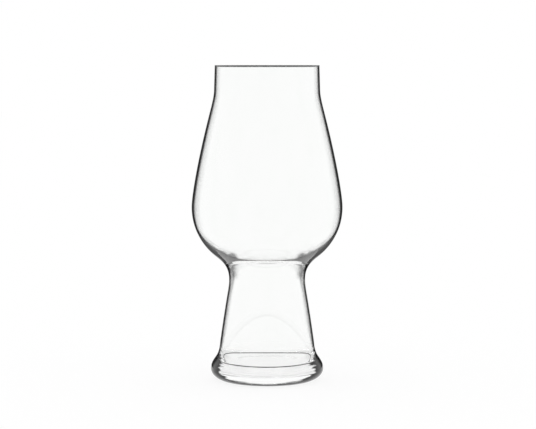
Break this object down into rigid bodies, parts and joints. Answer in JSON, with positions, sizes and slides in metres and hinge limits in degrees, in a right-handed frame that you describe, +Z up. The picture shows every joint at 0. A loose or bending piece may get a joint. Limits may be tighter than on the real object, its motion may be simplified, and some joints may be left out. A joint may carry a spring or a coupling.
{
  "type": "ipa glass",
  "caption": "Stemmed IPA beer glass with a straight neck, bulb-shaped bowl, drawn-in waist, hollow conical stem and heavy round foot, for drinking beer.",
  "frame": {"origin": "centre of the resting ring, on the plane the glass stands on", "axes": "+Z up along the glass's axis of revolution, from the foot to the rim"},
  "size_m": [0.0864, 0.0864, 0.1802],
  "materials": {
    "rim_glass": "clear glass, ground and polished round",
    "neck_glass": "clear blown glass",
    "bowl_glass": "clear blown glass",
    "waist_glass": "clear blown glass, thick",
    "stem_glass": "clear blown glass",
    "foot_glass": "clear solid glass, polished, with a matt ground underside"
  },
  "bodies": {
    "root": {"rim": "rim_glass", "neck": "neck_glass", "bowl": "bowl_glass", "waist": "waist_glass", "stem": "stem_glass", "foot": "foot_glass"}
  },
  "joints": []
}
